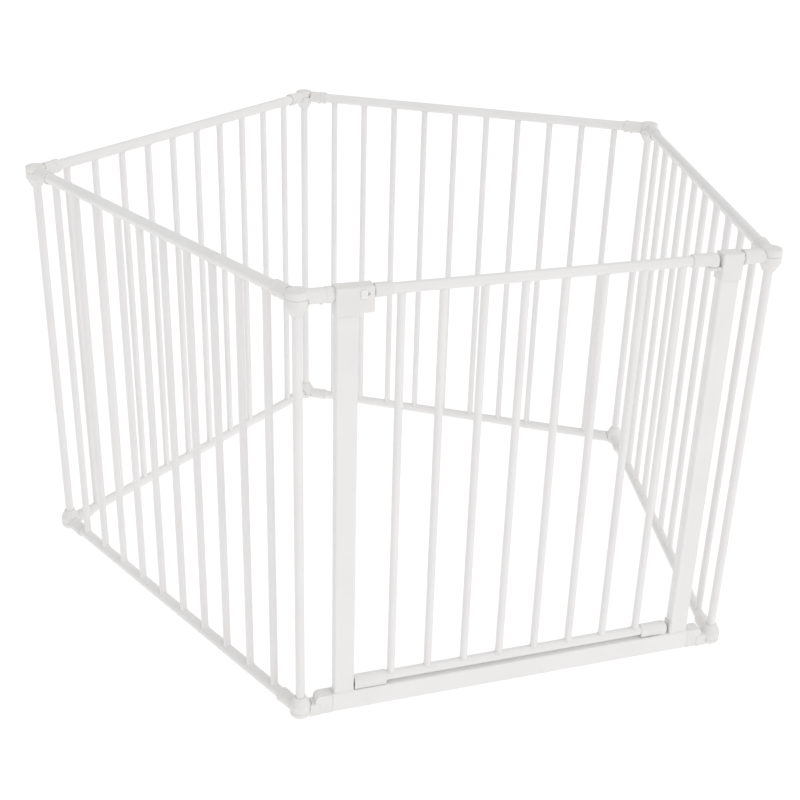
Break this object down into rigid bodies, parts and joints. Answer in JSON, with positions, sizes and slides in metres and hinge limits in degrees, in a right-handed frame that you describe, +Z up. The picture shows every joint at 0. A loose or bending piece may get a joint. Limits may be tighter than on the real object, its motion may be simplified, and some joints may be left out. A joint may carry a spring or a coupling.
{
  "type": "pet playpen",
  "caption": "Free-standing ring of hinged steel bar panels with moulded corner joints and a latched swing gate, to hold a puppy or small pet.",
  "frame": {"origin": "centre of the ring's outline in plan, on the floor", "axes": "+X along the gate section and the longest side of the outline, the gate at -Y, +Z up"},
  "size_m": [1.21, 1.1258, 0.7165],
  "materials": {
    "white_steel": "satin white powder coat",
    "moulded_plastic": "fine matt off-white moulding",
    "button_plastic": "semi-gloss white moulding",
    "foot_rubber": "matt light grey rubber",
    "pin_steel": "plain zinc-plated"
  },
  "bodies": {
    "gate_frame": {"gate_upper_fittings": "moulded_plastic", "gate_lower_fittings": "moulded_plastic", "gate_foot_pad": "foot_rubber", "gate_stub_rails": "white_steel", "latch_post": "white_steel", "hinge_post": "white_steel", "threshold": "white_steel", "latch_housing": "moulded_plastic", "hinge_cap": "moulded_plastic", "lower_hinge_lug": "moulded_plastic"},
    "gate_leaf": {"leaf_top_rail": "white_steel", "leaf_bottom_rail": "white_steel", "leaf_bars": "white_steel", "leaf_latch_sleeve": "moulded_plastic", "leaf_latch_block": "moulded_plastic", "leaf_upper_hinge_sleeve": "moulded_plastic", "leaf_lower_hinge_block": "moulded_plastic", "leaf_hinge_pins": "pin_steel"},
    "latch": {"latch_bolt": "pin_steel", "latch_button": "button_plastic"},
    "left_panel": {"left_top_rail": "white_steel", "left_bottom_rail": "white_steel", "left_bars": "white_steel", "left_upper_fittings": "moulded_plastic", "left_lower_fittings": "moulded_plastic", "left_foot_pad": "foot_rubber"},
    "right_panel": {"right_top_rail": "white_steel", "right_bottom_rail": "white_steel", "right_bars": "white_steel", "right_upper_fittings": "moulded_plastic", "right_lower_fittings": "moulded_plastic", "right_foot_pad": "foot_rubber"},
    "back_panel": {"back_top_rail": "white_steel", "back_bottom_rail": "white_steel", "back_bars": "white_steel", "back_upper_fittings": "moulded_plastic", "back_lower_fittings": "moulded_plastic", "back_foot_pad": "foot_rubber", "corner_post_e": "white_steel"},
    "back_left_panel": {"back_left_top_rail": "white_steel", "back_left_bottom_rail": "white_steel", "back_left_bars": "white_steel", "back_left_upper_fittings": "moulded_plastic", "back_left_lower_fittings": "moulded_plastic", "back_left_foot_pad": "foot_rubber", "post_cap_e": "moulded_plastic"},
    "corner_rod_a": {"corner_post_a": "white_steel", "post_cap_a": "moulded_plastic"},
    "corner_rod_b": {"corner_post_b": "white_steel", "post_cap_b": "moulded_plastic"},
    "corner_rod_c": {"corner_post_c": "white_steel", "post_cap_c": "moulded_plastic"},
    "corner_rod_d": {"corner_post_d": "white_steel", "post_cap_d": "moulded_plastic"}
  },
  "joints": [
    {"name": "corner_b_hinge", "type": "hinge", "parent": "gate_frame", "child": "left_panel", "pos_m": [-0.29104, -0.54639, 0.0125], "axis": [0, 0, 1], "range_deg": [0, 65.6]},
    {"name": "corner_a_hinge", "type": "hinge", "parent": "left_panel", "child": "back_left_panel", "pos_m": [-0.58847, 0.1093, 0.0125], "axis": [0, 0, 1], "range_deg": [0, 77]},
    {"name": "corner_c_hinge", "type": "hinge", "parent": "gate_frame", "child": "right_panel", "pos_m": [0.42896, -0.54639, 0.0125], "axis": [0, 0, -1], "range_deg": [0, 77.2]},
    {"name": "corner_d_hinge", "type": "hinge", "parent": "right_panel", "child": "back_panel", "pos_m": [0.58847, 0.15572, 0.0125], "axis": [0, 0, -1], "range_deg": [0, 69.9]},
    {"name": "gate_hinge", "type": "hinge", "parent": "gate_frame", "child": "gate_leaf", "pos_m": [0.33216, -0.54639, 0.0495], "axis": [0, 0, 1], "range_deg": [-90, 90]},
    {"name": "latch_slide", "type": "slide", "parent": "gate_frame", "child": "latch", "axis": [1, 0, 0], "range_m": [0, 0.006]},
    {"name": "rod_a_lift", "type": "slide", "parent": "left_panel", "child": "corner_rod_a", "axis": [0, 0, 1], "range_m": [0, 0.662]},
    {"name": "rod_b_lift", "type": "slide", "parent": "gate_frame", "child": "corner_rod_b", "axis": [0, 0, 1], "range_m": [0, 0.662]},
    {"name": "rod_c_lift", "type": "slide", "parent": "right_panel", "child": "corner_rod_c", "axis": [0, 0, 1], "range_m": [0, 0.662]},
    {"name": "rod_d_lift", "type": "slide", "parent": "back_panel", "child": "corner_rod_d", "axis": [0, 0, 1], "range_m": [0, 0.662]}
  ]
}
